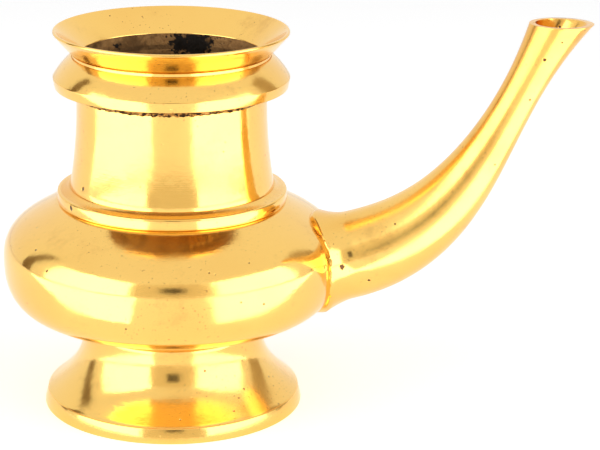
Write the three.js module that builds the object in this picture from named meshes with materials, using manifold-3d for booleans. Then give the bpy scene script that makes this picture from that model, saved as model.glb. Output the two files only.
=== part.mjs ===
// A spouted brass water pot: a cast and turned body of stacked rings and shells, brazed together,
// with a hollow foot and a curved pouring spout. Millimetres, +Z up, the spout points along +X.
// The origin is on the table, under the middle of the pot's overall length.
import * as THREE from "three";
import { mergeVertices } from "three/addons/utils/BufferGeometryUtils.js";
import Module from "manifold-3d";

const wasm = await Module();
wasm.setup();

// Driving dimensions of the foot.
const bandRadius = 34.9; // foot band at the table
const bandTaper = 1.0; // how much narrower the band is at its top
const bandHeight = 4.0;
const footHeight = 21.4; // top of the hollow foot
const waistRadius = 23.9;
const footWall = 2.1;
const footNeckPull = 7.9; // how far the foot stays narrow before it flares
const footFlarePull = 8.0;
const footFlareAngle = 38; // degrees above level, where the flare meets the band

// Driving dimensions of the belly.
const waistBrazeHeight = 1.9;
const waistGroove = 0.7; // depth of the hollow in the waist braze
const bellyBaseRadius = 24.8;
const bellyRadius = 45.0;
const bellyLowerHeight = 17.3; // from the waist braze to the seam
const bellyUpperHeight = 14.7; // from the seam to the shoulder ring
const seamHeight = 0.8;
const seamProud = 0.05;
const bellyWall = 2.2;
const lowerPull = 13.0; // handle lengths of the belly's curves
const basePull = 14.0;
const baseAngle = 14; // degrees above level, where the belly leaves the waist
const upperPull = 8.0;
const shoulderPull = 10.0;
const shoulderAngle = 28; // degrees below level, where the belly leaves the shoulder ring

// Driving dimensions of the shoulder and neck.
const shoulderWidth = 3.3; // how far the shoulder ring stands out past the neck
const shoulderHeight = 3.3;
const shoulderRounding = 0.5;
const ledgeHeight = 0.9;
const ledgeInset = 0.3;
const neckBaseRadius = 27.1;
const neckTopRadius = 25.0;
const neckHeight = 26.8;
const neckWall = 2.1;
const neckWaisting = 0.7; // how far the neck's side is drawn in at mid height

// Driving dimensions of the collar and mouth.
const collarWidth = 5.05; // how far the collar's widest edge stands out past the channel
const collarUndercut = 0.45;
const collarSideHeight = 2.6;
const collarHeight = 8.1;
const collarInnerStep = 0.3;
const collarCrown = 0.35; // bulge of the collar's sloping face
const collarBrazeHeight = 1.5;
const collarBrazeWidth = 1.3;
const channelStep = 1.0; // channel's radius beyond the top of the neck
const channelWall = 2.2;
const channelHeight = 0.8; // clear height of the channel between collar and lip
const lipFlare = 4.95; // how far the rim stands out past the channel
const lipHeight = 6.0; // rise of the flared lip above the channel
const lipEdge = 0.5;
const lipInnerInset = 0.75;
const lipRoot = 1.4;
const throatDepth = 6.2; // how far below the rim the funnel ends in the bore

// Driving dimensions of the spout.
const spoutRootRadius = 11.55;
const spoutNarrowRadius = 5.2;
const spoutMouthRadius = 7.3;
const spoutNarrowShare = 0.76; // where along the spout it is narrowest
const spoutWall = 1.5;
const spoutRootRise = 0.84; // root centre above the belly's seam
const spoutRootAngle = 14.8; // degrees above level
const spoutRootPull = 29.8;
const spoutReach = 54.8; // mouth centre beyond the belly
const spoutMouthRise = 4.4; // mouth centre above the pot's rim
const spoutTipLean = 26.3; // degrees from upright
const spoutTipPull = 38.0;
const spoutBrazeLength = 5.0; // braze collar beyond the belly
const filletRise = 1.7; // how far the braze fillet stands up against the belly
const filletReach = 6.0; // how far from the belly the fillet begins
const spoutHoleRadius = 8.0;
const fitGap = 0.3; // between a piece and the neighbour that cuts it

// Steps round each turned piece and along each curve.
const roundSteps = 48;
const curveSteps = 7;
const spoutSteps = 15;
const spoutSides = 28;

// Heights of the joints between the pieces, from the table up.
const bellyBase = footHeight + waistBrazeHeight;
const seamBase = bellyBase + bellyLowerHeight;
const seamTop = seamBase + seamHeight;
const shoulderBase = seamTop + bellyUpperHeight;
const ledgeBase = shoulderBase + shoulderHeight;
const neckBase = ledgeBase + ledgeHeight;
const collarBase = neckBase + neckHeight;
const collarTop = collarBase + collarHeight;
const lipBase = collarTop + channelHeight;
const rimTop = lipBase + lipHeight;
const bandTopRadius = bandRadius - bandTaper;
const shoulderRadius = neckBaseRadius + shoulderWidth;
const channelRadius = neckTopRadius + channelStep;
const throatRadius = channelRadius - channelWall;
const collarRadius = channelRadius + collarWidth;
const lipRadius = channelRadius + lipFlare;
const neckBaseBore = neckBaseRadius - neckWall;
const spoutRootHeight = (seamBase + seamTop) / 2 + spoutRootRise;

const radians = THREE.MathUtils.degToRad;
const at = (radius, height) => new THREE.Vector2(radius, height);

// Points of a smooth stretch of outline between two ends, with a handle at each end.
function curve(start, startHandle, endHandle, end, steps = curveSteps) {
  return new THREE.CubicBezierCurve(start, startHandle, endHandle, end).getPoints(steps);
}

// A copy of an outline that runs upwards, moved towards the axis by a wall, square to the outline.
function inset(outline, wall) {
  return outline.map((point, i) => {
    const before = outline[Math.max(i - 1, 0)];
    const after = outline[Math.min(i + 1, outline.length - 1)];
    const along = after.clone().sub(before).normalize();
    return at(point.x - wall * along.y, point.y + wall * along.x);
  });
}

// A turned solid. Its outline runs up the outside, in over the top and down the inside.
function turned(outline, steps = roundSteps) {
  return new THREE.LatheGeometry([...outline, outline[0]], steps).rotateX(Math.PI / 2);
}

function toSolid(geometry) {
  const bare = geometry.clone();
  bare.deleteAttribute("normal");
  bare.deleteAttribute("uv");
  const merged = mergeVertices(bare, 1e-4);
  const mesh = new wasm.Mesh({
    numProp: 3,
    vertProperties: new Float32Array(merged.attributes.position.array),
    triVerts: new Uint32Array(merged.index.array),
  });
  return new wasm.Manifold(mesh);
}

function toGeometry(solid) {
  const mesh = solid.getMesh();
  const geometry = new THREE.BufferGeometry();
  geometry.setAttribute("position", new THREE.BufferAttribute(mesh.vertProperties, 3));
  geometry.setIndex(new THREE.BufferAttribute(mesh.triVerts, 1));
  geometry.computeVertexNormals();
  return geometry;
}

// Outline of the foot's outside, upwards from the band.
function footOutline() {
  const flare = radians(footFlareAngle);
  const base = at(bandTopRadius, bandHeight);
  const top = at(waistRadius, footHeight);
  const baseHandle = at(base.x - footFlarePull * Math.cos(flare), base.y + footFlarePull * Math.sin(flare));
  return curve(base, baseHandle, at(waistRadius, footHeight - footNeckPull), top);
}

function footBand() {
  const bore = bandTopRadius - footWall;
  return turned([at(bore, 0), at(bandRadius, 0), at(bandTopRadius, bandHeight), at(bore, bandHeight)]);
}

function footCone() {
  const outside = footOutline();
  const inside = inset(outside, footWall);
  inside[0].set(bandTopRadius - footWall, bandHeight);
  inside[inside.length - 1].set(waistRadius - footWall, footHeight);
  return turned([...outside, ...inside.reverse()]);
}

function waistBraze() {
  const bore = waistRadius - footWall;
  const middle = (waistRadius + bellyBaseRadius) / 2 - waistGroove;
  return turned([
    at(bore, footHeight),
    at(waistRadius, footHeight),
    at(middle, footHeight + waistBrazeHeight / 2),
    at(bellyBaseRadius, bellyBase),
    at(bore, bellyBase),
  ]);
}

// Outline of the belly's outside below the seam, upwards from the waist.
function lowerOutline(steps = 10) {
  const base = at(bellyBaseRadius, bellyBase);
  const angle = radians(baseAngle);
  const baseHandle = at(base.x + basePull * Math.cos(angle), base.y + basePull * Math.sin(angle));
  return curve(base, baseHandle, at(bellyRadius, seamBase - lowerPull), at(bellyRadius, seamBase), steps);
}

// Outline of the belly's outside above the seam, upwards to the shoulder ring.
function upperOutline(steps = 8) {
  const top = at(shoulderRadius, shoulderBase);
  const angle = radians(shoulderAngle);
  const topHandle = at(top.x + shoulderPull * Math.cos(angle), top.y - shoulderPull * Math.sin(angle));
  return curve(at(bellyRadius, seamTop), at(bellyRadius, seamTop + upperPull), topHandle, top, steps);
}

// The hole through the belly's wall into the spout.
function spoutHole() {
  const hole = new THREE.CylinderGeometry(spoutHoleRadius, spoutHoleRadius, bellyRadius, spoutSides);
  hole.rotateZ(Math.PI / 2).translate(bellyRadius, 0, spoutRootHeight);
  return toSolid(hole);
}

function lowerBelly() {
  const outside = lowerOutline();
  const inside = inset(outside, bellyWall);
  const floor = inside[0].y;
  inside[inside.length - 1].set(bellyRadius - bellyWall, seamBase);
  const shell = turned([at(0, bellyBase), ...outside, ...inside.reverse(), at(0, floor)]);
  return toGeometry(toSolid(shell).subtract(spoutHole()));
}

function bellySeam() {
  const inner = bellyRadius - bellyWall;
  const outer = bellyRadius + seamProud;
  const seam = turned([at(inner, seamBase), at(outer, seamBase), at(outer, seamTop), at(inner, seamTop)]);
  return toGeometry(toSolid(seam).subtract(spoutHole()));
}

function upperBelly() {
  const outside = upperOutline();
  const inside = inset(outside, bellyWall);
  inside[0].set(bellyRadius - bellyWall, seamTop);
  const underRing = inside[inside.length - 1].y;
  const shell = turned([
    ...outside,
    at(neckBaseBore, shoulderBase),
    at(neckBaseBore, underRing),
    ...inside.reverse(),
  ]);
  return toGeometry(toSolid(shell).subtract(spoutHole()));
}

function shoulderRing() {
  const side = shoulderRadius;
  const round = shoulderRounding;
  return turned([
    at(neckBaseBore, shoulderBase),
    at(side - round, shoulderBase),
    at(side, shoulderBase + round),
    at(side, ledgeBase - round),
    at(side - round, ledgeBase),
    at(neckBaseBore, ledgeBase),
  ]);
}

function neckBraze() {
  return turned([
    at(neckBaseBore, ledgeBase),
    at(shoulderRadius - shoulderRounding - ledgeInset, ledgeBase),
    at(neckBaseRadius + ledgeInset, neckBase),
    at(neckBaseBore, neckBase),
  ]);
}

// Outline of the neck's outside, upwards, drawn in a little at mid height.
function neckOutline() {
  const middle = (neckBaseRadius + neckTopRadius) / 2 - neckWaisting;
  const base = at(neckBaseRadius, neckBase);
  const top = at(neckTopRadius, collarBase);
  const third = neckHeight / 3;
  return curve(base, at(middle, neckBase + third), at(neckTopRadius, collarBase - third), top, 5);
}

function neckTube() {
  const outside = neckOutline();
  const inside = outside.map((point) => at(point.x - neckWall, point.y));
  return turned([...outside, ...inside.reverse()]);
}

function collarBraze() {
  const drop = collarBase - collarBrazeHeight;
  const share = collarBrazeHeight / neckHeight;
  const neckThere = neckTopRadius + share * (neckBaseRadius - neckTopRadius) + fitGap / 2;
  return turned([
    at(neckThere, drop),
    at(neckTopRadius + collarBrazeWidth, collarBase - collarBrazeHeight / 3),
    at(neckTopRadius + collarBrazeWidth, collarBase),
    at(neckTopRadius + fitGap / 2, collarBase),
  ]);
}

function mouthCollar() {
  const side = at(collarRadius, collarBase + collarSideHeight);
  const inner = at(channelRadius + collarInnerStep, collarTop);
  const third = inner.clone().sub(side).divideScalar(3);
  const sideHandle = at(side.x + third.x + collarCrown, side.y + third.y + collarCrown);
  const innerHandle = at(inner.x - third.x + collarCrown, inner.y - third.y + collarCrown);
  return turned([
    at(channelRadius, collarBase),
    at(collarRadius - collarUndercut, collarBase),
    ...curve(side, sideHandle, innerHandle, inner),
    at(channelRadius, collarTop),
  ]);
}

function mouthLip() {
  const root = at(channelRadius + lipRoot, lipBase + lipRoot);
  return turned([
    at(channelRadius, collarBase),
    ...curve(at(channelRadius, lipBase), root, root, at(lipRadius, rimTop - lipEdge), 5),
    at(lipRadius - lipInnerInset / 3, rimTop),
    at(lipRadius - lipInnerInset, rimTop),
    at(throatRadius, rimTop - throatDepth),
    at(throatRadius, collarBase),
  ]);
}

// Centre line of the spout, from beside the belly to the middle of its mouth.
function spoutPath() {
  const lift = radians(spoutRootAngle);
  const lean = radians(spoutTipLean);
  const root = new THREE.Vector3(bellyRadius + 1.2, 0, spoutRootHeight);
  const tip = new THREE.Vector3(bellyRadius + spoutReach, 0, rimTop + spoutMouthRise);
  const rootHandle = new THREE.Vector3(Math.cos(lift), 0, Math.sin(lift)).multiplyScalar(spoutRootPull);
  const tipHandle = new THREE.Vector3(Math.sin(lean), 0, Math.cos(lean)).multiplyScalar(-spoutTipPull);
  return new THREE.CubicBezierCurve3(root, rootHandle.add(root), tipHandle.add(tip), tip);
}

const path = spoutPath();
const pathLength = path.getLength();

// Outer radius of the spout at a distance along its centre line.
function spoutRadius(distance) {
  const share = distance / pathLength;
  const taper = THREE.MathUtils.smoothstep(share, 0, spoutNarrowShare);
  const flare = Math.max(0, (share - spoutNarrowShare) / (1 - spoutNarrowShare));
  const narrowing = (spoutNarrowRadius - spoutRootRadius) * taper;
  return spoutRootRadius + narrowing + (spoutMouthRadius - spoutNarrowRadius) * flare ** 2;
}

// Bends a straight turned piece, whose height is the distance along the spout, onto the centre line.
// Past either end the centre line runs on straight.
function bend(geometry) {
  const position = geometry.attributes.position;
  for (let i = 0; i < position.count; i++) {
    const distance = position.getZ(i);
    const share = THREE.MathUtils.clamp(distance / pathLength, 0, 1);
    const centre = path.getPointAt(share);
    const forward = path.getTangentAt(share);
    centre.addScaledVector(forward, distance - share * pathLength);
    const across = position.getX(i);
    position.setXYZ(i, centre.x + across * forward.z, position.getY(i), centre.z - across * forward.x);
  }
  return geometry;
}

// A piece of spout between two distances along the centre line.
function spoutPiece(start, end, steps) {
  const outside = [];
  const inside = [];
  for (let i = 0; i <= steps; i++) {
    const distance = start + ((end - start) * i) / steps;
    outside.push(at(spoutRadius(distance), distance));
    inside.push(at(spoutRadius(distance) - spoutWall, distance));
  }
  return bend(turned([...outside, ...inside.reverse()], spoutSides));
}

// Swells a piece of spout into a hollow fillet where its outside comes near the belly.
function fillet(geometry, start, end, steps) {
  const belly = [...lowerOutline(40), ...upperOutline(40)];
  const position = geometry.attributes.position;
  const perSide = position.count / (spoutSides + 1);
  for (let i = 0; i < position.count; i++) {
    const station = i % perSide;
    if (station > steps && station < perSide - 1) continue;
    const place = new THREE.Vector3().fromBufferAttribute(position, i);
    const spot = at(Math.hypot(place.x, place.y), place.z);
    const gap = Math.min(...belly.map((point) => point.distanceTo(spot)));
    const distance = start + ((end - start) * (station % (perSide - 1))) / steps;
    const centre = path.getPointAt(THREE.MathUtils.clamp(distance / pathLength, 0, 1));
    centre.addScaledVector(path.getTangentAt(0), Math.min(distance, 0));
    const rise = filletRise * Math.max(0, 1 - gap / filletReach) ** 2;
    place.add(place.clone().sub(centre).setLength(rise));
    position.setXYZ(i, place.x, place.y, place.z);
  }
  return geometry;
}

// The belly's outside, swollen by the fitting gap, as one solid that cuts the spout's braze.
function bellyCutter() {
  const outside = [...lowerOutline(), ...upperOutline()];
  const swollen = inset(outside, -fitGap);
  const first = swollen[0];
  const last = swollen[swollen.length - 1];
  return toSolid(turned([at(0, first.y), ...swollen, at(0, last.y)]));
}

function spoutBraze() {
  const start = -spoutRootRadius * 1.3;
  const steps = 11;
  const ring = fillet(spoutPiece(start, spoutBrazeLength, steps), start, spoutBrazeLength, steps);
  return toGeometry(toSolid(ring).subtract(bellyCutter()));
}

function spoutTube() {
  const past = 2 * spoutMouthRadius * Math.tan(radians(spoutTipLean));
  const tube = spoutPiece(spoutBrazeLength, pathLength + past, spoutSteps);
  const size = 4 * spoutMouthRadius + 2 * past;
  const above = new THREE.BoxGeometry(size, size, size);
  above.translate(bellyRadius + spoutReach, 0, rimTop + spoutMouthRise + size / 2);
  return toGeometry(toSolid(tube).subtract(toSolid(above)));
}

const brass = { color: 0xd9a441, roughness: 0.22, metalness: 1 };
const brazeAlloy = { color: 0xb07d30, roughness: 0.5, metalness: 1 };

const pieces = [
  ["mouth_lip", mouthLip, brass],
  ["mouth_collar", mouthCollar, brass],
  ["collar_braze", collarBraze, brazeAlloy],
  ["neck_tube", neckTube, brass],
  ["neck_braze", neckBraze, brazeAlloy],
  ["shoulder_ring", shoulderRing, brass],
  ["upper_belly", upperBelly, brass],
  ["belly_seam", bellySeam, brazeAlloy],
  ["lower_belly", lowerBelly, brass],
  ["waist_braze", waistBraze, brazeAlloy],
  ["foot_cone", footCone, brass],
  ["foot_band", footBand, brass],
  ["spout_braze", spoutBraze, brazeAlloy],
  ["spout_tube", spoutTube, brass],
];

const pot = new THREE.Group();
for (const [name, shape, finish] of pieces) {
  const mesh = new THREE.Mesh(shape(), new THREE.MeshStandardMaterial(finish));
  mesh.name = name;
  pot.add(mesh);
}

// The origin lies under the middle of the overall length.
const reach = new THREE.Box3().setFromObject(pot);
pot.position.x = -(reach.min.x + reach.max.x) / 2;

export default pot;
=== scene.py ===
# %% [markdown]
# # A spouted brass water pot
#
# This lesson dresses a small cast and turned water pot: a round belly on a hollow foot, a neck with a
# collar and a flared lip, and a long curved spout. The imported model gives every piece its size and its
# place. What is made here is the smooth turned surface, the brass and the braze.

import math

import bpy
from mathutils import Matrix, Vector, geometry


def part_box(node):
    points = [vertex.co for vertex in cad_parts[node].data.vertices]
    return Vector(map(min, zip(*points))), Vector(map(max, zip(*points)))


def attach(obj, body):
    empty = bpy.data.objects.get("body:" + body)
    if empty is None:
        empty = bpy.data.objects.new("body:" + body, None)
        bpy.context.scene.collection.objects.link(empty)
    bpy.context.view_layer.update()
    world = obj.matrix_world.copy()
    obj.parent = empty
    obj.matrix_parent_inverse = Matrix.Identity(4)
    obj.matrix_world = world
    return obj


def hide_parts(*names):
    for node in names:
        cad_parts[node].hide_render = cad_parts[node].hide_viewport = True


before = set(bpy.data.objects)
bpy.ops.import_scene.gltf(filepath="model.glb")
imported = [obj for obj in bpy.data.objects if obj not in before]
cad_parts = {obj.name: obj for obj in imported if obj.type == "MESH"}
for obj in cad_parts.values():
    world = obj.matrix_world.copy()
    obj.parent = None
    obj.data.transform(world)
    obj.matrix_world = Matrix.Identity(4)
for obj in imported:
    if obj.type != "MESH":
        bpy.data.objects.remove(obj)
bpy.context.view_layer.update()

MM = 0.001
foot_low, foot_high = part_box("foot_band")
POT_AXIS = Vector(((foot_low.x + foot_high.x) / 2, 0, 0))
print("pot axis at x =", round(POT_AXIS.x, 5), "and nodes:", sorted(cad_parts))

# %% [markdown]
# ## The camera
#
# A long lens looks down at the pot by about 17 degrees and stands a little to the spout's side of the
# front. Its height, distance and tilt were worked out from how flat the turned circles look, so the
# picture's proportions fall out of the geometry. The camera comes first, because a later step places
# small casting flaws by looking through it.

# %% Camera
PICTURE_WIDTH, PICTURE_HEIGHT = 600, 450
CAMERA_AZIMUTH = math.radians(8.0)
CAMERA_DISTANCE = 548.0 * MM
CAMERA_HEIGHT = 218.4 * MM
CAMERA_PAN = math.radians(3.56)
CAMERA_TILT = math.radians(17.2)
CAMERA_ROLL = math.radians(0.73)
FOCAL_PIXELS = 2143.2
SENSOR_MM = 36.0
NEAREST_SEEN = 0.01


def camera_turn():
    """The camera's rotation: pan and tilt first, then a little roll about the view direction."""
    heading = CAMERA_PAN - CAMERA_AZIMUTH
    level = math.cos(CAMERA_TILT)
    forward = Vector((math.sin(heading) * level, math.cos(heading) * level, -math.sin(CAMERA_TILT)))
    right = Vector((math.cos(heading), -math.sin(heading), 0))
    up = right.cross(forward)
    rolled_right = right * math.cos(CAMERA_ROLL) + up * math.sin(CAMERA_ROLL)
    rolled_up = up * math.cos(CAMERA_ROLL) - right * math.sin(CAMERA_ROLL)
    return Matrix((rolled_right, rolled_up, -forward)).transposed()


def make_camera():
    back = Vector((math.sin(CAMERA_AZIMUTH), -math.cos(CAMERA_AZIMUTH), 0)) * CAMERA_DISTANCE
    place = POT_AXIS + back + Vector((0, 0, CAMERA_HEIGHT))
    bpy.ops.object.camera_add()
    camera = bpy.context.object
    camera.name = "camera"
    camera.matrix_world = Matrix.Translation(place) @ camera_turn().to_4x4()
    camera.data.sensor_width = SENSOR_MM
    camera.data.lens = FOCAL_PIXELS / PICTURE_WIDTH * SENSOR_MM
    camera.data.clip_start = NEAREST_SEEN
    bpy.context.scene.camera = camera
    return camera


camera = make_camera()
bpy.context.view_layer.update()
print("camera at", tuple(round(v, 4) for v in camera.location))

# %% [markdown]
# ## Floor and world
#
# Materials are built from nodes by two small helpers, so that each line below adds or joins one node.
# The floor and the world look white to the camera and in reflections, but light the pot at a plain
# level. The Light Path node tells these rays apart, and the floor keeps the pot's soft shadow.

# %% Node helpers, world and floor
WHITE = (1, 1, 1, 1)
FLOOR_SIZE = 6.0
FLOOR_GREY = (0.9, 0.9, 0.9, 1)
FLOOR_GLOW = 0.46
WORLD_DIFFUSE = 0.4


def new_material(name):
    material = bpy.data.materials.new(name)
    material.use_nodes = True
    material.node_tree.nodes.clear()
    return material, material.node_tree


def add(tree, kind, **settings):
    node = tree.nodes.new("ShaderNode" + kind)
    for name, value in settings.items():
        if name in node.inputs:
            node.inputs[name].default_value = value
        else:
            setattr(node, name, value)
    return node


def join(tree, source, target):
    tree.links.new(source, target)


def combine(tree, operation, first, second):
    """A Math node that works on two other nodes' results."""
    node = add(tree, "Math", operation=operation)
    join(tree, first, node.inputs[0])
    join(tree, second, node.inputs[1])
    return node.outputs[0]


def seen_directly(tree):
    """1 for rays that come from the camera, from a mirror or through glass."""
    path = add(tree, "LightPath")
    straight = combine(tree, "MAXIMUM", path.outputs["Is Camera Ray"], path.outputs["Is Glossy Ray"])
    return combine(tree, "MAXIMUM", straight, path.outputs["Is Transmission Ray"])


def finish_nodes(tree, shader, kind="OutputMaterial"):
    join(tree, shader.outputs[0], add(tree, kind).inputs["Surface"])


def choose_when_seen(tree, otherwise, seen):
    mix = add(tree, "MixShader")
    join(tree, seen_directly(tree), mix.inputs[0])
    join(tree, otherwise.outputs[0], mix.inputs[1])
    join(tree, seen.outputs[0], mix.inputs[2])
    return mix


def make_world():
    world = bpy.data.worlds.new("studio")
    world.use_nodes = True
    tree = world.node_tree
    tree.nodes.clear()
    soft = add(tree, "Background", Color=WHITE, Strength=WORLD_DIFFUSE)
    white = add(tree, "Background", Color=WHITE, Strength=1.0)
    finish_nodes(tree, choose_when_seen(tree, soft, white), "OutputWorld")
    bpy.context.scene.world = world


def make_floor():
    bpy.ops.mesh.primitive_plane_add(size=FLOOR_SIZE)
    floor = bpy.context.object
    floor.name = "floor"
    material, tree = new_material("pale_floor")
    diffuse = add(tree, "BsdfDiffuse", Color=FLOOR_GREY)
    glow = add(tree, "Emission", Color=WHITE, Strength=FLOOR_GLOW)
    both = add(tree, "AddShader")
    join(tree, diffuse.outputs[0], both.inputs[0])
    join(tree, glow.outputs[0], both.inputs[1])
    finish_nodes(tree, choose_when_seen(tree, diffuse, both))
    floor.data.materials.append(material)
    return floor


make_world()
floor = make_floor()
print("floor", FLOOR_SIZE, "m wide")

# %% [markdown]
# ## The studio
#
# Polished metal shows the room more than itself. Two soft boxes stand left and right of the camera and
# light the floor. What the metal mirrors are bright cards in their place, each with a flat one on the
# floor below it. A dimmer wall closes the gap between them, which gives the darker strip down the middle
# of every turned piece. Reflections alone see the cards, so they are cheap to move and to reshape.

# %% Lamps and cards
BRIGHT = (3.4, 3.4, 3.4)
WARM_WALL = (0.86, 0.80, 0.70)
BLACK = (0.02, 0.018, 0.016)
DARK_STAND = (0.22, 0.16, 0.10)
PALE_STAND = (0.5, 0.4, 0.28)
LAMP_AIM = 50 * MM
JUST_ABOVE_FLOOR = 1 * MM


def facing(place, target):
    return (target - place).to_track_quat("-Z", "Y").to_euler()


def around(azimuth, distance, height):
    """A place round the pot: azimuth in degrees from the camera's side, positive towards the spout."""
    turn = math.radians(azimuth) + CAMERA_AZIMUTH
    return POT_AXIS + Vector((math.sin(turn) * distance, -math.cos(turn) * distance, height))


def soft_box(name, azimuth, distance=0.8, height=0.42, width=1.0, tall=0.8, power=4.5):
    bpy.ops.object.light_add(type="AREA", location=around(azimuth, distance, height))
    lamp = bpy.context.object
    lamp.name = name
    lamp.rotation_euler = facing(lamp.location, POT_AXIS + Vector((0, 0, LAMP_AIM)))
    lamp.data.shape = "RECTANGLE"
    lamp.data.size = width
    lamp.data.size_y = tall
    lamp.data.energy = power
    lamp.visible_camera = False
    lamp.visible_glossy = False


def card(name, place, turn, width, tall, colour):
    """A glowing panel that only reflections see."""
    bpy.ops.mesh.primitive_plane_add(size=1, location=place)
    panel = bpy.context.object
    panel.name = name
    panel.rotation_euler = turn
    panel.scale = (width, tall, 1)
    material, tree = new_material(name)
    finish_nodes(tree, add(tree, "Emission", Color=(*colour, 1), Strength=1.0))
    panel.data.materials.append(material)
    panel.visible_camera = False
    panel.visible_diffuse = False
    panel.visible_shadow = False
    panel.visible_transmission = False


def standing_card(name, azimuth, distance, height, width, tall, colour):
    place = around(azimuth, distance, height)
    card(name, place, facing(place, POT_AXIS + Vector((0, 0, height))), width, tall, colour)


def floor_card(name, azimuth, distance, width, tall, colour):
    """A card flat on the floor, whose inner edge runs away from the pot along the azimuth."""
    inner_edge = around(azimuth, distance, JUST_ABOVE_FLOOR)
    outwards = around(azimuth + math.copysign(90, azimuth), width / 2, 0) - POT_AXIS
    turn = (0, 0, math.radians(azimuth) + CAMERA_AZIMUTH)
    card(name, inner_edge + outwards, turn, width, tall, colour)


soft_box("left_soft_box", azimuth=-66)
soft_box("right_soft_box", azimuth=64)
standing_card("left_bright_card", -60, 0.8, 0.36, width=0.98, tall=0.66, colour=BRIGHT)
standing_card("right_bright_card", 58, 0.8, 0.36, width=0.92, tall=0.66, colour=BRIGHT)
floor_card("left_floor_card", -23, 0.42, width=0.6, tall=0.66, colour=BRIGHT)
floor_card("right_floor_card", 23, 0.42, width=0.5, tall=0.66, colour=BRIGHT)
standing_card("front_gap", 0, 1.2, 0.45, width=1.2, tall=0.9, colour=WARM_WALL)
standing_card("camera_body", 0, 0.6, 0.225, width=0.15, tall=0.17, colour=BLACK)
standing_card("left_stand", -112, 0.9, 0.35, width=0.16, tall=0.9, colour=DARK_STAND)
standing_card("right_stand", 112, 0.9, 0.35, width=0.3, tall=0.9, colour=PALE_STAND)
bpy.context.scene.view_settings.view_transform = "Standard"

# %% [markdown]
# ## Where the flaws are
#
# A cast pot has gas pits that the polishing opens, and soot inside its neck. The larger ones are given
# by their place in the picture and their radius, and a ray from the camera finds the spot on the model.
# A material can then darken a small ball round that spot, which works on any shape and from any side.

# %% Flaws, as picture places and radii in millimetres
BRASS_PITS = [
    (342, 267, 0.85), (330, 278, 0.35), (335, 280, 0.35), (369, 280, 0.4), (36, 250, 0.45), (47, 271, 0.4),
    (209, 273, 0.3), (249, 263, 0.3), (264, 304, 0.35), (126, 329, 0.35), (234, 411, 0.35), (205, 371, 0.3),
    (545, 60, 0.5), (560, 27, 0.35), (530, 100, 0.35), (83, 189, 0.6), (71, 208, 0.7), (395, 224, 0.3),
]
SOOT_PATCHES = [(196, 45, 5.5), (181, 43, 3.5), (117, 46, 1.0)]


def seen_at(x, y):
    """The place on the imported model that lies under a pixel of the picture."""
    ray = Vector((x - PICTURE_WIDTH / 2, PICTURE_HEIGHT / 2 - y, -FOCAL_PIXELS)).normalized()
    scene = bpy.context.scene
    view = bpy.context.evaluated_depsgraph_get()
    hit, place, *_ = scene.ray_cast(view, camera.location, camera.matrix_world.to_3x3() @ ray)
    return place - POT_AXIS if hit else None


def find_flaws(pixels):
    found = [(seen_at(x, y), radius * MM) for x, y, radius in pixels]
    return [(place, radius) for place, radius in found if place is not None]


floor.hide_set(True)
brass_pits = find_flaws(BRASS_PITS)
soot_patches = find_flaws(SOOT_PATCHES)
floor.hide_set(False)
print(len(brass_pits), "pits and", len(soot_patches), "soot patches placed")

# %% [markdown]
# ## Patterns
#
# Every finish below is made of a few patterns: clouds of noise, a ramp that turns noise into patches,
# and dents. They read Object coordinates moved to the pot's axis, so they stay on the metal from any
# side. Fine rings left by the lathe depend only on the distance from the axis and the height, so that
# pattern reads those two numbers. Scattered pits come from a sparse Voronoi pattern.

# %% Pattern helpers
COLOUR_SOCKETS = (6, 7)
COLOUR_RESULT = 2
SPOT_CORE = 0.55


def centred(tree):
    """Object coordinates with the pot's axis at their origin."""
    place = add(tree, "TexCoord")
    shift = add(tree, "Mapping", Location=tuple(-POT_AXIS))
    join(tree, place.outputs["Object"], shift.inputs["Vector"])
    return shift.outputs[0]


def noise(tree, vector, scale, detail=3.0, roughness=0.55):
    node = add(tree, "TexNoise", Scale=scale, Detail=detail, Roughness=roughness)
    join(tree, vector, node.inputs["Vector"])
    return node.outputs["Fac"]


def ramp(tree, value, low, high, start=0.0, end=1.0):
    """Turns low into start and high into end, smoothly in between."""
    node = add(tree, "MapRange")
    node.interpolation_type = "SMOOTHSTEP"
    node.inputs["From Min"].default_value = low
    node.inputs["From Max"].default_value = high
    node.inputs["To Min"].default_value = start
    node.inputs["To Max"].default_value = end
    join(tree, value, node.inputs["Value"])
    return node.outputs[0]


def blend(tree, share, first, second):
    """Mixes two colours, each a tuple or another node's result."""
    node = add(tree, "Mix", data_type="RGBA")
    join(tree, share, node.inputs["Factor"])
    for colour, socket in zip((first, second), COLOUR_SOCKETS):
        if isinstance(colour, tuple):
            node.inputs[socket].default_value = colour
        else:
            join(tree, colour, node.inputs[socket])
    return node.outputs[COLOUR_RESULT]


def dent(tree, height, strength, distance, under=None):
    node = add(tree, "Bump", Strength=strength, Distance=distance)
    join(tree, height, node.inputs["Height"])
    if under is not None:
        join(tree, under, node.inputs["Normal"])
    return node.outputs[0]


def turned_place(tree, vector):
    """Distance from the axis and height, as a vector: the same all the way round a turned piece."""
    parts = add(tree, "SeparateXYZ")
    flat = add(tree, "CombineXYZ")
    radius = add(tree, "VectorMath", operation="LENGTH")
    out = add(tree, "CombineXYZ")
    join(tree, vector, parts.inputs[0])
    join(tree, parts.outputs["X"], flat.inputs["X"])
    join(tree, parts.outputs["Y"], flat.inputs["Y"])
    join(tree, flat.outputs[0], radius.inputs[0])
    join(tree, radius.outputs["Value"], out.inputs["X"])
    join(tree, parts.outputs["Z"], out.inputs["Y"])
    return out.outputs[0]


def pits(tree, vector, spacing, size):
    """1 in small scattered pits, 0 elsewhere. The size is a share of the spacing."""
    cells = add(tree, "TexVoronoi", Scale=1 / spacing)
    join(tree, vector, cells.inputs["Vector"])
    spot = ramp(tree, cells.outputs["Distance"], low=size, high=size / 2)
    some = ramp(tree, noise(tree, vector, scale=55.0), low=0.52, high=0.62)
    return combine(tree, "MULTIPLY", spot, some)


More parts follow.
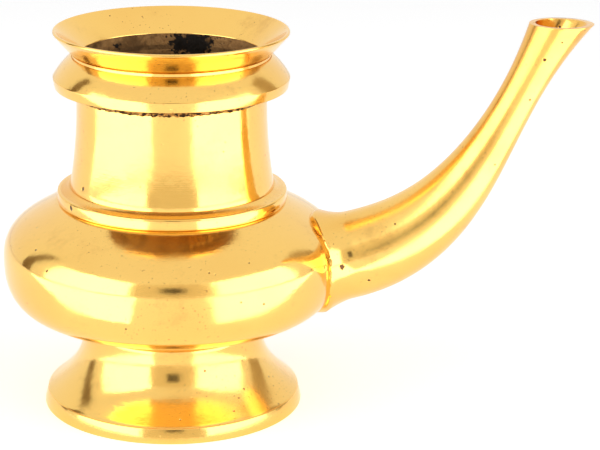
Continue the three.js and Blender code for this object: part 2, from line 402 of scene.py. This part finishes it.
def spots(tree, vector, places, ragged=0.3):
    """1 inside round spots at named places, with a ragged edge, 0 elsewhere."""
    grain = noise(tree, vector, scale=900.0, detail=2.0)
    wobble = ramp(tree, grain, low=0.3, high=0.7, start=1 - ragged, end=1 + ragged)
    total = None
    for place, radius in places:
        away = add(tree, "VectorMath", operation="DISTANCE")
        join(tree, vector, away.inputs[0])
        away.inputs[1].default_value = tuple(place)
        ragged_distance = combine(tree, "MULTIPLY", away.outputs["Value"], wobble)
        spot = ramp(tree, ragged_distance, low=radius, high=radius * SPOT_CORE)
        total = spot if total is None else combine(tree, "MAXIMUM", total, spot)
    return total


# %% [markdown]
# ## Brass
#
# Brass is a metal shader whose colour wanders between yellow and orange, with browner patches where it
# has tarnished, a fine speckle left by casting and a few open pits. Its roughness wanders too, because
# the buffing wheel doesn't reach every place alike. One function makes three finishes: turned brass with
# lathe rings, cast brass on the spout without them, and the duller, more orange braze.

# %% Brass
YELLOW = (0.95, 0.60, 0.165, 1)
ORANGE = (0.86, 0.46, 0.10, 1)
TARNISH = (0.62, 0.33, 0.09, 1)
SPECKLE = (0.42, 0.20, 0.06, 1)
BROWN = (0.10, 0.045, 0.02, 1)


def brass_colour(tree, place, orange, flaw):
    """The wandering colour. The number orange is the most that it leans towards orange."""
    warmth = ramp(tree, noise(tree, place, scale=26.0, detail=4.0), low=0.35, high=0.75, end=orange)
    colour = blend(tree, warmth, YELLOW, ORANGE)
    cloud = noise(tree, place, scale=70.0, detail=5.0, roughness=0.7)
    colour = blend(tree, ramp(tree, cloud, low=0.56, high=0.76, end=0.42), colour, TARNISH)
    fine = ramp(tree, noise(tree, place, scale=1500.0, detail=2.0), low=0.66, high=0.74)
    where = ramp(tree, noise(tree, place, scale=38.0, detail=2.0), low=0.42, high=0.62)
    colour = blend(tree, combine(tree, "MULTIPLY", fine, where), colour, SPECKLE)
    return blend(tree, flaw, colour, BROWN)


def brass_surface(tree, place, turned, flaw):
    """Faint hammered waviness, then the lathe's rings where a piece was turned, then the pits."""
    normal = dent(tree, noise(tree, place, scale=420.0, detail=2.0), strength=0.22, distance=0.12 * MM)
    if turned:
        rings = noise(tree, turned_place(tree, place), scale=2600.0, detail=2.0)
        normal = dent(tree, rings, strength=0.2, distance=0.03 * MM, under=normal)
    return dent(tree, flaw, strength=0.6, distance=-0.3 * MM, under=normal)


def brass(name, turned=True, orange=0.35, shine=(0.09, 0.2)):
    """Polished brass. The two numbers of shine are its lowest and highest roughness."""
    material, tree = new_material(name)
    place = centred(tree)
    shader = add(tree, "BsdfPrincipled", Metallic=1.0)
    scattered = pits(tree, place, spacing=4.2 * MM, size=0.075)
    flaw = combine(tree, "MAXIMUM", scattered, spots(tree, place, brass_pits))
    polish = ramp(tree, noise(tree, place, scale=60.0), low=0.3, high=0.7, start=shine[0], end=shine[1])
    join(tree, brass_colour(tree, place, orange, flaw), shader.inputs["Base Color"])
    join(tree, polish, shader.inputs["Roughness"])
    join(tree, brass_surface(tree, place, turned, flaw), shader.inputs["Normal"])
    finish_nodes(tree, shader)
    return material


TURNED_BRASS = brass("turned_brass")
CAST_BRASS = brass("cast_brass", turned=False, orange=1.0, shine=(0.14, 0.26))
ORANGE_BRAZE = brass("orange_braze", orange=1.0, shine=(0.2, 0.35))
print("brass finishes:", TURNED_BRASS.name, CAST_BRASS.name, ORANGE_BRAZE.name)

# %% [markdown]
# ## Raw inside and rough braze
#
# Nobody polishes the inside of a pot: it keeps a brown skin with coarse lathe rings, and soot where the
# torch went in. The braze under the collar is the roughest place, a crust of dark grains in orange
# metal. Both are duller than the brass and get their look from strong colour contrast and deep dents.

# %% Raw inside and rough braze
SKIN = (0.34, 0.19, 0.07, 1)
STAINED_SKIN = (0.16, 0.085, 0.03, 1)
RING_SHADE = (0.09, 0.05, 0.02, 1)
SOOT = (0.012, 0.009, 0.007, 1)
BRAZE_METAL = (0.50, 0.27, 0.08, 1)
BRAZE_CRUST = (0.03, 0.014, 0.008, 1)


def unpolished(name):
    material, tree = new_material(name)
    place = centred(tree)
    shader = add(tree, "BsdfPrincipled", Metallic=0.75)
    cloud = noise(tree, place, scale=90.0, detail=5.0, roughness=0.65)
    colour = blend(tree, ramp(tree, cloud, low=0.5, high=0.62), SKIN, STAINED_SKIN)
    rings = noise(tree, turned_place(tree, place), scale=900.0, detail=2.0)
    colour = blend(tree, ramp(tree, rings, low=0.45, high=0.65, end=0.6), colour, RING_SHADE)
    colour = blend(tree, spots(tree, place, soot_patches, ragged=0.5), colour, SOOT)
    dull = ramp(tree, noise(tree, place, scale=300.0), low=0.3, high=0.7, start=0.45, end=0.75)
    casting_skin = noise(tree, place, scale=700.0, detail=4.0)
    join(tree, colour, shader.inputs["Base Color"])
    join(tree, dull, shader.inputs["Roughness"])
    join(tree, dent(tree, casting_skin, strength=0.6, distance=0.4 * MM), shader.inputs["Normal"])
    finish_nodes(tree, shader)
    return material


def granular(name):
    material, tree = new_material(name)
    place = centred(tree)
    shader = add(tree, "BsdfPrincipled", Metallic=0.85, Roughness=0.55)
    grains = noise(tree, place, scale=950.0)
    crust = ramp(tree, grains, low=0.44, high=0.56)
    join(tree, blend(tree, crust, BRAZE_METAL, BRAZE_CRUST), shader.inputs["Base Color"])
    join(tree, dent(tree, grains, strength=0.8, distance=-0.4 * MM), shader.inputs["Normal"])
    finish_nodes(tree, shader)
    return material


ROUGH_BRAZE = granular("rough_braze")
# The raw finish also serves as painted shade on the downward faces under the collar.
RAW_SKIN_AND_PAINTED_SHADE = unpolished("raw_inside")
print("dull finishes:", ROUGH_BRAZE.name, RAW_SKIN_AND_PAINTED_SHADE.name)

# %% [markdown]
# ## Turning a piece
#
# A lathe cuts an outline and the turning does the rest. The same two steps work here: one point is
# extruded along the outline of the wall, and the outline is spun once round the pot's axis. A bevel
# takes the knife edge off the corners, because no polished edge is perfectly sharp.

# %% A lathe made of extrude and spin
TURN_STEPS = 192
MERGE_DISTANCE = MM / 200
SMOOTH_ANGLE = math.radians(40)
BEVEL_SEGMENTS = 3


def clear_selection():
    if bpy.context.object and bpy.context.object.mode == "EDIT":
        bpy.ops.object.mode_set(mode="OBJECT")
    bpy.ops.object.select_all(action="DESELECT")


def pick(piece):
    clear_selection()
    piece.select_set(True)
    bpy.context.view_layer.objects.active = piece


def close_mesh():
    """In edit mode: merges the points that meet and turns all faces outwards."""
    bpy.ops.mesh.select_all(action="SELECT")
    bpy.ops.mesh.remove_doubles(threshold=MERGE_DISTANCE)
    bpy.ops.mesh.normals_make_consistent(inside=False)
    bpy.ops.object.mode_set(mode="OBJECT")


def turn_on_lathe(name, outline, steps=TURN_STEPS):
    """Spins an outline of (radius, height) points round the pot's axis."""
    clear_selection()
    start = POT_AXIS + Vector((outline[0][0], 0, outline[0][1]))
    bpy.ops.mesh.primitive_plane_add(size=MM, location=start)
    piece = bpy.context.object
    piece.name = piece.data.name = name
    bpy.ops.object.transform_apply(location=True)
    bpy.ops.object.mode_set(mode="EDIT")
    bpy.ops.mesh.merge(type="CENTER")
    hollow = outline[0][0] > 0 or outline[-1][0] > 0
    stops = list(outline[1:]) + ([outline[0]] if hollow else [])
    previous = outline[0]
    for stop in stops:
        step = (stop[0] - previous[0], 0, stop[1] - previous[1])
        bpy.ops.mesh.extrude_region_move(TRANSFORM_OT_translate={"value": step})
        previous = stop
    bpy.ops.mesh.select_all(action="SELECT")
    bpy.ops.mesh.spin(steps=steps, angle=math.tau, center=tuple(POT_AXIS), axis=(0, 0, 1))
    close_mesh()
    return piece


def shade_smooth(piece):
    pick(piece)
    bpy.ops.object.shade_smooth_by_angle(angle=SMOOTH_ANGLE)


def soften_edges(piece, width, least_bend=30):
    """Bevels every edge where the surface bends by more than least_bend, in degrees."""
    pick(piece)
    bevel = piece.modifiers.new("bevel", "BEVEL")
    bevel.width = width
    bevel.segments = BEVEL_SEGMENTS
    bevel.limit_method = "ANGLE"
    bevel.angle_limit = math.radians(least_bend)
    bpy.ops.object.modifier_apply(modifier=bevel.name)
    shade_smooth(piece)


def finish_piece(piece, node, material):
    piece.data.materials.clear()
    piece.data.materials.append(material)
    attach(piece, "root")
    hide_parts(node)
    print(piece.name, len(piece.data.polygons), "faces")


# %% [markdown]
# ## Outlines and inner faces
#
# The outlines are Bezier curves, drawn as a turner would: two ends and a handle at each. A wall is the
# same curve moved inwards. Afterwards the faces that look at the axis get the raw finish as a second
# material on the same piece, and the faces that look down from under the collar get it as painted shade.

# %% Outline helpers
INWARD_LEAN = -0.2
# Faces whose normal points further down than this get painted shade.
DOWNWARD = -0.7
ABOVE_EVERYTHING = 1.0


def curve(start, start_handle, end_handle, end, steps):
    points = [Vector((p[0], p[1], 0)) for p in (start, start_handle, end_handle, end)]
    return [(p.x, p.y) for p in geometry.interpolate_bezier(*points, steps + 1)]


def inset(outline, wall):
    """A copy of an outline that runs upwards, moved towards the axis, square to the outline."""
    moved = []
    for i, point in enumerate(outline):
        before = outline[max(i - 1, 0)]
        after = outline[min(i + 1, len(outline) - 1)]
        along = Vector((after[0] - before[0], after[1] - before[1])).normalized()
        moved.append((point[0] - wall * along.y, point[1] + wall * along.x))
    return moved


def levels(node):
    """Lowest and highest place of a piece, and its greatest radius about the pot's axis."""
    low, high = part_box(node)
    return low.z, high.z, (high.y - low.y) / 2


def raw_inside(piece, top=ABOVE_EVERYTHING):
    """Faces that look at the pot's axis, below a height, keep the brown skin of the casting."""
    piece.data.materials.append(RAW_SKIN_AND_PAINTED_SHADE)
    for face in piece.data.polygons:
        outwards = face.center - POT_AXIS
        outwards.z = 0
        inner = face.normal.dot(outwards) < INWARD_LEAN * outwards.length
        if inner and face.center.z < top:
            face.material_index = 1


def painted_shade_underside(piece):
    """Faces that look down get the dark raw finish: painted shade under the collar."""
    piece.data.materials.append(RAW_SKIN_AND_PAINTED_SHADE)
    for face in piece.data.polygons:
        if face.normal.z < DOWNWARD:
            face.material_index = 1


# %% [markdown]
# ## Foot
#
# The foot is a hollow trumpet that ends in an upright band. Its outline leaves the waist straight down
# and sweeps out to the band, so one curve with two handles describes it. A profile of straight steps
# would need many points and would still show facets in the reflections.

# %% Foot
FOOT_WALL = 2.1 * MM
FLARE_ANGLE = math.radians(38)
FLARE_PULL = 8.0 * MM
FOOT_NECK_PULL = 7.9 * MM
WAIST_RADIUS = 23.9 * MM
foot_base, foot_top, foot_radius = levels("foot_cone")
band_base, band_top, band_radius = levels("foot_band")


def make_foot():
    bore = foot_radius - FOOT_WALL
    reach, rise = FLARE_PULL * math.cos(FLARE_ANGLE), FLARE_PULL * math.sin(FLARE_ANGLE)
    flare = (foot_radius - reach, foot_base + rise)
    upright = (WAIST_RADIUS, foot_top - FOOT_NECK_PULL)
    outside = curve((foot_radius, foot_base), flare, upright, (WAIST_RADIUS, foot_top), steps=24)
    inside = inset(outside, FOOT_WALL)
    inside[0] = (bore, foot_base)
    inside[-1] = (WAIST_RADIUS - FOOT_WALL, foot_top)
    cone = turn_on_lathe("flared_foot", outside + inside[::-1])
    soften_edges(cone, width=0.15 * MM)
    finish_piece(cone, "foot_cone", TURNED_BRASS)
    section = [(bore, band_base), (band_radius, band_base), (foot_radius, band_top), (bore, band_top)]
    band = turn_on_lathe("foot_ring", section)
    soften_edges(band, width=0.35 * MM)
    finish_piece(band, "foot_band", TURNED_BRASS)


make_foot()

# %% [markdown]
# ## Belly
#
# The belly is two cast shells that meet in a seam at the widest place. Each half is a curve with a
# handle at both ends, and its wall is the same curve moved inwards. The seam edges stay unbevelled, so
# that no line shows where the shells meet.

# %% Belly
BELLY_WALL = 2.2 * MM
NECK_WALL = 2.1 * MM
BASE_RADIUS = 24.8 * MM
BASE_ANGLE = math.radians(14)
BASE_PULL = 14.0 * MM
LOWER_PULL = 13.0 * MM
UPPER_PULL = 8.0 * MM
SHOULDER_ANGLE = math.radians(28)
SHOULDER_PULL = 10.0 * MM
lower_base, lower_top, belly_radius = levels("lower_belly")
upper_base, upper_top, _ = levels("upper_belly")
ring_base, ring_top, ring_radius = levels("shoulder_ring")
neck_base, neck_top, neck_radius = levels("neck_tube")
neck_bore = neck_radius - NECK_WALL


def lower_outline(steps=28):
    reach, rise = BASE_PULL * math.cos(BASE_ANGLE), BASE_PULL * math.sin(BASE_ANGLE)
    leave = (BASE_RADIUS + reach, lower_base + rise)
    arrive = (belly_radius, lower_top - LOWER_PULL)
    return curve((BASE_RADIUS, lower_base), leave, arrive, (belly_radius, lower_top), steps)


def upper_outline(steps=28):
    reach, drop = SHOULDER_PULL * math.cos(SHOULDER_ANGLE), SHOULDER_PULL * math.sin(SHOULDER_ANGLE)
    leave = (belly_radius, upper_base + UPPER_PULL)
    arrive = (ring_radius + reach, upper_top - drop)
    return curve((belly_radius, upper_base), leave, arrive, (ring_radius, upper_top), steps)


def make_bowl():
    outside = lower_outline()
    inside = inset(outside, BELLY_WALL)
    inside[-1] = (belly_radius - BELLY_WALL, lower_top)
    bowl = turn_on_lathe("belly_bowl", [(0, lower_base)] + outside + inside[::-1] + [(0, inside[0][1])])
    shade_smooth(bowl)
    finish_piece(bowl, "lower_belly", TURNED_BRASS)
    raw_inside(bowl)


def make_dome():
    outside = upper_outline()
    inside = inset(outside, BELLY_WALL)
    inside[0] = (belly_radius - BELLY_WALL, upper_base)
    rim = [(neck_bore, upper_top), (neck_bore, inside[-1][1])]
    dome = turn_on_lathe("belly_dome", outside + rim + inside[::-1])
    shade_smooth(dome)
    finish_piece(dome, "upper_belly", TURNED_BRASS)
    raw_inside(dome)


def make_seam():
    inner = belly_radius - BELLY_WALL
    outside = [(belly_radius, lower_top), (belly_radius, upper_base)]
    seam = turn_on_lathe("belly_joint", [(inner, lower_top)] + outside + [(inner, upper_base)])
    shade_smooth(seam)
    finish_piece(seam, "belly_seam", TURNED_BRASS)


make_bowl()
make_dome()
make_seam()

# %% [markdown]
# ## Waist and shoulder ring
#
# Between belly and foot runs a hollow fillet of braze, one shallow curve with both handles at its
# deepest point. A plain band stands on the shoulder, with a rounding wide enough to catch a highlight.

# %% Waist and shoulder ring
WAIST_HOLLOW = 1.6 * MM
waist_base, waist_top, _ = levels("waist_braze")


def make_waist():
    bore = WAIST_RADIUS - FOOT_WALL
    deep = ((WAIST_RADIUS + BASE_RADIUS) / 2 - WAIST_HOLLOW, (waist_base + waist_top) / 2)
    hollow = curve((WAIST_RADIUS, waist_base), deep, deep, (BASE_RADIUS, waist_top), steps=10)
    waist = turn_on_lathe("waist_fillet", hollow + [(bore, waist_top), (bore, waist_base)])
    soften_edges(waist, width=0.05 * MM)
    finish_piece(waist, "waist_braze", ORANGE_BRAZE)


def make_shoulder_ring():
    outside = [(ring_radius, ring_base), (ring_radius, ring_top)]
    ring = turn_on_lathe("shoulder_band", [(neck_bore, ring_base)] + outside + [(neck_bore, ring_top)])
    soften_edges(ring, width=0.5 * MM)
    finish_piece(ring, "shoulder_ring", TURNED_BRASS)
    raw_inside(ring)


make_waist()
make_shoulder_ring()

# %% [markdown]
# ## Ledge and neck
#
# An orange ledge of braze fills the corner between the shoulder ring and the neck. The neck is a tube
# that narrows upwards and is drawn in a little at mid height, which bends the tall reflections on it.

# %% Ledge and neck
NECK_TOP_RADIUS = 25.0 * MM
NECK_WAISTING = 0.7 * MM
LEDGE_PULL = 1.0 * MM
LEDGE_OUTER_RISE = 0.2 * MM
LEDGE_INNER_RISE = 0.3 * MM
LEDGE_TOP_WIDTH = 0.3 * MM
ledge_base, ledge_top, ledge_radius = levels("neck_braze")


def make_ledge():
    leave = (ledge_radius - LEDGE_PULL, ledge_base + LEDGE_OUTER_RISE)
    arrive = (neck_radius + LEDGE_PULL, ledge_base + LEDGE_INNER_RISE)
    inner = (neck_radius + LEDGE_TOP_WIDTH, ledge_top)
    slope = curve((ledge_radius, ledge_base), leave, arrive, inner, steps=8)
    ledge = turn_on_lathe("neck_ledge", slope + [(neck_bore, ledge_top), (neck_bore, ledge_base)])
    soften_edges(ledge, width=0.05 * MM)
    finish_piece(ledge, "neck_braze", ORANGE_BRAZE)


def make_neck():
    third = (neck_top - neck_base) / 3
    middle = (neck_radius + NECK_TOP_RADIUS) / 2 - NECK_WAISTING
    side = curve((neck_radius, neck_base), (middle, neck_base + third),
                 (NECK_TOP_RADIUS, neck_top - third), (NECK_TOP_RADIUS, neck_top), steps=16)
    tube = turn_on_lathe("neck_wall", side + [(r - NECK_WALL, z) for r, z in side[::-1]])
    soften_edges(tube, width=0.08 * MM)
    finish_piece(tube, "neck_tube", TURNED_BRASS)
    raw_inside(tube)


make_ledge()
make_neck()

# %% [markdown]
# ## Collar
#
# The collar is a thick turned ring: a low upright side, a slightly bulging slope up to the channel, and
# a flat underside, whose downward faces get the dark raw finish as painted shade. The bulge comes from
# moving the two handles of the slope's curve off the straight line by the same small step.

# %% Collar
CHANNEL_RADIUS = 26.0 * MM
COLLAR_SIDE = 2.6 * MM
COLLAR_INNER_STEP = 0.3 * MM
COLLAR_CROWN = 0.35 * MM
COLLAR_UNDERCUT = 0.45 * MM
collar_base, collar_top, collar_radius = levels("mouth_collar")


def make_collar():
    edge = (collar_radius, collar_base + COLLAR_SIDE)
    inner = (CHANNEL_RADIUS + COLLAR_INNER_STEP, collar_top)
    across, rise = (inner[0] - edge[0]) / 3, (inner[1] - edge[1]) / 3
    leave = (edge[0] + across + COLLAR_CROWN, edge[1] + rise + COLLAR_CROWN)
    arrive = (inner[0] - across + COLLAR_CROWN, inner[1] - rise + COLLAR_CROWN)
    under = [(CHANNEL_RADIUS, collar_base), (collar_radius - COLLAR_UNDERCUT, collar_base)]
    slope = curve(edge, leave, arrive, inner, steps=18)
    collar = turn_on_lathe("turned_collar", under + slope + [(CHANNEL_RADIUS, collar_top)])
    soften_edges(collar, width=0.22 * MM, least_bend=25)
    finish_piece(collar, "mouth_collar", TURNED_BRASS)
    # Painted shade: the collar's downward faces get the dark raw finish.
    painted_shade_underside(collar)


make_collar()

# %% [markdown]
# ## Lip
#
# The lip is a thin funnel above a narrow channel. Outside and inside are both nearly straight cones, so
# the wall is even, and the polished funnel ends at the sharp edge where the raw bore begins.

# %% Lip
THROAT_RADIUS = 23.8 * MM
THROAT_DEPTH = 6.2 * MM
LIP_HEIGHT = 6.0 * MM
LIP_ROOT = 1.4 * MM
LIP_EDGE = 0.5 * MM
RIM_OUTER_INSET = 0.25 * MM
RIM_INNER_INSET = 0.75 * MM
POLISHED_THROAT = 95.7 * MM
lip_base, rim_top, lip_radius = levels("mouth_lip")


def make_lip():
    channel_top = rim_top - LIP_HEIGHT
    root = (CHANNEL_RADIUS + LIP_ROOT, channel_top + LIP_ROOT)
    flare = curve((CHANNEL_RADIUS, channel_top), root, root, (lip_radius, rim_top - LIP_EDGE), steps=12)
    rim = [(lip_radius - RIM_OUTER_INSET, rim_top), (lip_radius - RIM_INNER_INSET, rim_top)]
    throat = [(THROAT_RADIUS, rim_top - THROAT_DEPTH), (THROAT_RADIUS, lip_base)]
    lip = turn_on_lathe("flared_lip", [(CHANNEL_RADIUS, lip_base)] + flare + rim + throat)
    soften_edges(lip, width=0.2 * MM)
    finish_piece(lip, "mouth_lip", TURNED_BRASS)
    raw_inside(lip, POLISHED_THROAT)


make_lip()

# %% [markdown]
# ## Braze under the collar
#
# A crumbly line of braze holds the collar to the neck, and it is the roughest thing on the pot. It is
# turned like the rest, in more and smaller steps, and then every point is moved a little at random, so
# that its lower edge is ragged against the polished neck. The seed makes the crumbs the same each time.

# %% Braze under the collar
BRAZE_DRIP = 0.8 * MM
BRAZE_SKIN = 0.15 * MM
BRAZE_SPREAD = 0.5 * MM
BRAZE_STEPS = 320
CRUMB_SIZE = 0.22 * MM
rough_base, rough_top, rough_radius = levels("collar_braze")


def make_rough_braze():
    inner = NECK_TOP_RADIUS + BRAZE_SKIN
    hanging = rough_base - BRAZE_DRIP
    middle = hanging + (rough_top - hanging) / 2
    profile = curve((inner, hanging), (NECK_TOP_RADIUS + BRAZE_SPREAD, middle),
                    (rough_radius, middle), (rough_radius, rough_top), steps=9)
    ring = turn_on_lathe("crumbly_braze", profile + [(inner, rough_top)], BRAZE_STEPS)
    bpy.ops.object.mode_set(mode="EDIT")
    bpy.ops.mesh.select_all(action="SELECT")
    bpy.ops.transform.vertex_random(offset=CRUMB_SIZE, uniform=0.0, normal=1.0, seed=4)
    bpy.ops.object.mode_set(mode="OBJECT")
    bpy.ops.object.shade_smooth()
    finish_piece(ring, "collar_braze", ROUGH_BRAZE)


make_rough_braze()

# %% [markdown]
# ## The spout's centre line
#
# The spout follows one Bezier curve from the belly to the middle of its mouth. Its places are asked for
# by the distance travelled, and its direction comes from the curve's own slope, so that neighbouring
# rings of the tube turn evenly. Rings set at the nearest of a list of points would show as broken
# reflections in polished metal.

# %% Centre line and radius of the spout
SPOUT_ROOT = 11.55 * MM
SPOUT_NARROW = 5.2 * MM
SPOUT_MOUTH = 7.3 * MM
NARROW_SHARE = 0.76
ROOT_STANDOFF = 1.2 * MM
ROOT_RISE = 0.84 * MM
ROOT_ANGLE = math.radians(14.8)
ROOT_PULL = 29.8 * MM
MOUTH_REACH = 54.8 * MM
MOUTH_RISE = 4.4 * MM
TIP_LEAN = math.radians(26.3)
TIP_PULL = 38.0 * MM
LINE_POINTS = 400

root = POT_AXIS + Vector((belly_radius + ROOT_STANDOFF, 0, (lower_top + upper_base) / 2 + ROOT_RISE))
tip = POT_AXIS + Vector((belly_radius + MOUTH_REACH, 0, rim_top + MOUTH_RISE))
root_handle = root + Vector((math.cos(ROOT_ANGLE), 0, math.sin(ROOT_ANGLE))) * ROOT_PULL
tip_handle = tip - Vector((math.sin(TIP_LEAN), 0, math.cos(TIP_LEAN))) * TIP_PULL
centre_line = geometry.interpolate_bezier(root, root_handle, tip_handle, tip, LINE_POINTS)
travel = [0.0]
for before, after in zip(centre_line, centre_line[1:]):
    travel.append(travel[-1] + (after - before).length)
SPOUT_LENGTH = travel[-1]
print("spout length", round(SPOUT_LENGTH / MM, 1), "mm")


def smooth(share):
    share = min(max(share, 0.0), 1.0)
    return share * share * (3 - 2 * share)


def spout_radius(distance):
    """Tapers smoothly to the narrowest place and opens again towards the mouth."""
    share = distance / SPOUT_LENGTH
    flare = max(0.0, (share - NARROW_SHARE) / (1 - NARROW_SHARE))
    narrowing = (SPOUT_NARROW - SPOUT_ROOT) * smooth(share / NARROW_SHARE)
    return SPOUT_ROOT + narrowing + (SPOUT_MOUTH - SPOUT_NARROW) * flare ** 2


def spout_centre(distance):
    """Place on the centre line and its direction. Past either end the line runs on straight."""
    if distance <= 0:
        forward = (root_handle - root).normalized()
        return root + forward * distance, forward
    if distance >= SPOUT_LENGTH:
        forward = (tip - tip_handle).normalized()
        return tip + forward * (distance - SPOUT_LENGTH), forward
    i = next(k for k, length in enumerate(travel) if length >= distance)
    share = (distance - travel[i - 1]) / (travel[i] - travel[i - 1])
    along = (i - 1 + share) / (len(centre_line) - 1)
    back = 1 - along
    slope = (root_handle - root) * back ** 2 + (tip_handle - root_handle) * 2 * back * along
    slope += (tip - tip_handle) * along ** 2
    return centre_line[i - 1].lerp(centre_line[i], share), slope.normalized()


# %% [markdown]
# ## Sweeping a tube
#
# A circle is extruded from one station to the next. At each it is moved, scaled to its new radius and
# turned to face along the line. It goes out along the outside and comes back along the inside, so the
# tube has its wall at once, and the last ring merges with the first.

# %% Sweep a circle along the spout
SPOUT_WALL = 1.5 * MM
SPOUT_SIDES = 96
SMALLEST_TURN = 1e-6


def sweep(name, stations, sides=SPOUT_SIDES):
    """Extrudes a circle through stations of (distance, radius)."""
    clear_selection()
    here, forward = spout_centre(stations[0][0])
    lean, radius = math.atan2(forward.x, forward.z), stations[0][1]
    bpy.ops.mesh.primitive_circle_add(vertices=sides, radius=radius, location=here)
    piece = bpy.context.object
    piece.name = piece.data.name = name
    piece.rotation_euler = (0, lean, 0)
    bpy.ops.object.transform_apply(location=True, rotation=True)
    bpy.ops.object.mode_set(mode="EDIT")
    bpy.ops.mesh.select_all(action="SELECT")
    for distance, wide in stations[1:]:
        there, ahead = spout_centre(distance)
        bpy.ops.mesh.extrude_region_move(TRANSFORM_OT_translate={"value": tuple(there - here)})
        bpy.ops.transform.resize(value=(wide / radius,) * 3, center_override=tuple(there))
        new_lean = math.atan2(ahead.x, ahead.z)
        if abs(new_lean - lean) > SMALLEST_TURN:
            bpy.ops.transform.rotate(value=lean - new_lean, orient_axis="Y", center_override=tuple(there))
        here, lean, radius = there, new_lean, wide
    close_mesh()
    return piece


def wall_stations(start, end, steps):
    """Stations out along the outside and back along the inside, ending where they began."""
    places = [start + (end - start) * i / steps for i in range(steps + 1)]
    outside = [(d, spout_radius(d)) for d in places]
    inside = [(d, spout_radius(d) - SPOUT_WALL) for d in places[::-1]]
    return outside + inside + [outside[0]]


# %% [markdown]
# ## Spout
#
# The tube is swept a little too long and cut level at the mouth, as on the real spout, and only that cut
# edge is bevelled. Selecting edges by their height keeps the joint with the root crisp and invisible.

# %% Spout tube
BRAZE_LENGTH = 5.0 * MM
TUBE_STEPS = 84
CUT_BLOCK = 60 * MM
LEVEL_TOLERANCE = 0.02 * MM
MOUTH_ROUNDING = 0.25 * MM


def subtract(piece, cutter):
    pick(piece)
    cut = piece.modifiers.new("cut", "BOOLEAN")
    cut.operation = "DIFFERENCE"
    cut.solver = "EXACT"
    cut.object = cutter
    bpy.ops.object.modifier_apply(modifier=cut.name)
    bpy.data.objects.remove(cutter)


def round_mouth(piece, height, width):
    """Bevels the rim round a level opening: the edges that lie at a height."""
    pick(piece)
    mesh = piece.data
    for item in [*mesh.vertices, *mesh.edges, *mesh.polygons]:
        item.select = False
    for edge in mesh.edges:
        ends = [mesh.vertices[i] for i in edge.vertices]
        if all(abs(end.co.z - height) < LEVEL_TOLERANCE for end in ends):
            edge.select = ends[0].select = ends[1].select = True
    bpy.ops.object.mode_set(mode="EDIT")
    bpy.ops.mesh.select_mode(type="EDGE")
    bpy.ops.mesh.bevel(offset=width, segments=BEVEL_SEGMENTS, clamp_overlap=True)
    bpy.ops.object.mode_set(mode="OBJECT")


def make_spout_tube():
    past = 2 * SPOUT_MOUTH * math.tan(TIP_LEAN)
    tube = sweep("curved_spout", wall_stations(BRAZE_LENGTH, SPOUT_LENGTH + past, TUBE_STEPS))
    bpy.ops.mesh.primitive_cube_add(size=CUT_BLOCK, location=tip + Vector((0, 0, CUT_BLOCK / 2)))
    subtract(tube, bpy.context.object)
    round_mouth(tube, tip.z, MOUTH_ROUNDING)
    shade_smooth(tube)
    finish_piece(tube, "spout_tube", CAST_BRASS)


make_spout_tube()

# %% [markdown]
# ## Root of the spout
#
# Where the spout meets the belly, braze fills the corner with a hollow fillet. The root is swept like
# the tube, its outside is raised where it comes near the belly, and the belly's own shape is then cut
# away from it. That way the fillet follows the round belly, which a turned collar would not.

# %% Spout root
FILLET_RISE = 2.2 * MM
FILLET_REACH = 6.0 * MM
BELLY_SAMPLES = 90
ROOT_START = -1.3 * SPOUT_ROOT
ROOT_STEPS = 40
BELLY_FIT = 0.02 * MM


def raise_fillet(piece):
    """Moves the outside away from the spout's centre line where it comes near the belly."""
    belly = [Vector(point) for point in lower_outline(BELLY_SAMPLES) + upper_outline(BELLY_SAMPLES)]
    aim = (root_handle - root).normalized()
    for vertex in piece.data.vertices:
        along = min(max((vertex.co - root).dot(aim), ROOT_START), BRAZE_LENGTH)
        away = vertex.co - spout_centre(along)[0]
        if away.length < spout_radius(along) - SPOUT_WALL / 2:
            continue
        from_axis = vertex.co - POT_AXIS
        spot = Vector((math.hypot(from_axis.x, from_axis.y), from_axis.z))
        gap = min((point - spot).length for point in belly)
        rise = FILLET_RISE * max(0.0, 1 - gap / FILLET_REACH) ** 2
        vertex.co += away.normalized() * rise


def make_spout_root():
    collar = sweep("spout_root", wall_stations(ROOT_START, BRAZE_LENGTH, ROOT_STEPS))
    raise_fillet(collar)
    outside = inset(lower_outline() + upper_outline(), -BELLY_FIT)
    body = turn_on_lathe("belly_cutter", [(0, outside[0][1])] + outside + [(0, outside[-1][1])])
    subtract(collar, body)
    shade_smooth(collar)
    finish_piece(collar, "spout_braze", CAST_BRASS)


make_spout_root()
